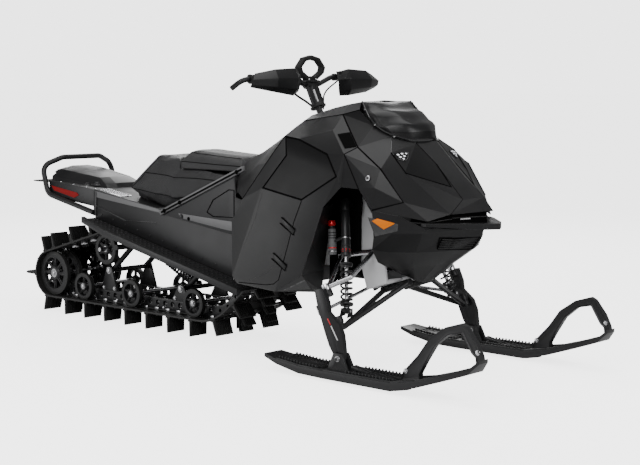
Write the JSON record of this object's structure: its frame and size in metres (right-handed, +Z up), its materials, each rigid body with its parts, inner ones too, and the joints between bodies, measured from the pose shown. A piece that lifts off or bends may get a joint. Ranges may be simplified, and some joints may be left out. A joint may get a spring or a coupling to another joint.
{
  "type": "snowmobile",
  "caption": "Mountain snowmobile with a long paddled track, two steered skis, faceted body panels, short windshield and narrow seat.",
  "frame": {"origin": "on the ground under the middle of the overall length and width", "axes": "+X forward, +Y to the rider's left, +Z up"},
  "size_m": [3.0399, 1.032, 1.277],
  "materials": {
    "black_plastic": "satin moulded body panel",
    "grey_plastic": "fine grained moulding",
    "gloss_black": "gloss",
    "clear_tint": "smoked polycarbonate",
    "lamp_lens": "clear lens",
    "amber_lens": "prismatic",
    "red_lens": "prismatic",
    "alloy": "bare cast and sheet aluminium",
    "black_metal": "black powder coat",
    "steel": "machined",
    "rubber": "moulded rubber",
    "vinyl": "grained seat vinyl",
    "webbing": "woven strap"
  },
  "bodies": {
    "chassis": {"track": "rubber", "rail_left": "alloy", "rail_right": "alloy", "drive_axle": "steel", "track_wheels": "black_plastic", "suspension_arms": "black_metal", "rail_brackets": "alloy", "rear_shocks": "steel", "tunnel": "black_metal", "tunnel_tail": "black_metal", "running_boards": "black_metal", "braces": "alloy", "bulkhead": "alloy", "engine": "alloy", "side_panel_left": "black_plastic", "side_panel_right": "black_plastic", "footwells": "black_plastic", "tank_cover": "black_plastic", "console": "grey_plastic", "hood": "black_plastic", "shrouds": "black_plastic", "windshield": "clear_tint", "belly_pan": "black_plastic", "front_bumper": "grey_plastic", "headlights": "lamp_lens", "front_reflectors": "amber_lens", "seat_base": "vinyl", "seat_cushion": "vinyl", "rear_bumper": "black_metal", "snow_flap": "rubber", "tail_housing": "black_plastic", "tail_lamps": "red_lens", "rear_reflectors": "red_lens", "lower_arms": "black_metal", "upper_arms": "alloy", "front_shocks": "steel"},
    "steering": {"steering_column": "black_metal", "handlebar": "black_metal", "grips": "rubber", "controls": "gloss_black", "hand_guards": "black_plastic", "grab_strap": "webbing", "throttle_cable": "rubber", "brake_hose": "rubber"},
    "spindle_left_body": {"spindle_left": "black_metal"},
    "spindle_right_body": {"spindle_right": "black_metal"},
    "ski_left_body": {"ski_left": "gloss_black", "ski_loop_left": "gloss_black"},
    "ski_right_body": {"ski_right": "gloss_black", "ski_loop_right": "gloss_black"},
    "tie_rod_left_body": {"tie_rod_left": "alloy"},
    "tie_rod_right_body": {"tie_rod_right": "alloy"}
  },
  "joints": [
    {"name": "steering", "type": "hinge", "parent": "chassis", "child": "steering", "pos_m": [0.3175, 0, 1.047], "axis": [-0.4772, 0, 0.8788], "range_deg": [-32, 32]},
    {"name": "spindle_left", "type": "hinge", "parent": "chassis", "child": "spindle_left_body", "pos_m": [0.8115, 0.412, 0.207], "axis": [-0.4772, 0, 0.8788], "range_deg": [-32, 32]},
    {"name": "ski_pitch_left", "type": "hinge", "parent": "spindle_left_body", "child": "ski_left_body", "pos_m": [0.8395, 0.441, 0.087], "axis": [0, -1, 0], "range_deg": [-12, 18], "stiffness_Nm_per_rad": 60},
    {"name": "tie_rod_left", "type": "hinge", "parent": "spindle_left_body", "child": "tie_rod_left_body", "pos_m": [0.70623, 0.412, 0.24998], "axis": [-0.4772, 0, 0.8788], "range_deg": [-32, 32]},
    {"name": "spindle_right", "type": "hinge", "parent": "chassis", "child": "spindle_right_body", "pos_m": [0.8115, -0.412, 0.207], "axis": [-0.4772, 0, 0.8788], "range_deg": [-32, 32]},
    {"name": "ski_pitch_right", "type": "hinge", "parent": "spindle_right_body", "child": "ski_right_body", "pos_m": [0.8395, -0.441, 0.087], "axis": [0, -1, 0], "range_deg": [-12, 18], "stiffness_Nm_per_rad": 60},
    {"name": "tie_rod_right", "type": "hinge", "parent": "spindle_right_body", "child": "tie_rod_right_body", "pos_m": [0.70623, -0.412, 0.24998], "axis": [-0.4772, 0, 0.8788], "range_deg": [-32, 32]}
  ],
  "couplings": [
    {"joint": "spindle_left", "follows": "steering", "ratio": 1},
    {"joint": "tie_rod_left", "follows": "steering", "ratio": -1},
    {"joint": "spindle_right", "follows": "steering", "ratio": 1},
    {"joint": "tie_rod_right", "follows": "steering", "ratio": -1}
  ]
}
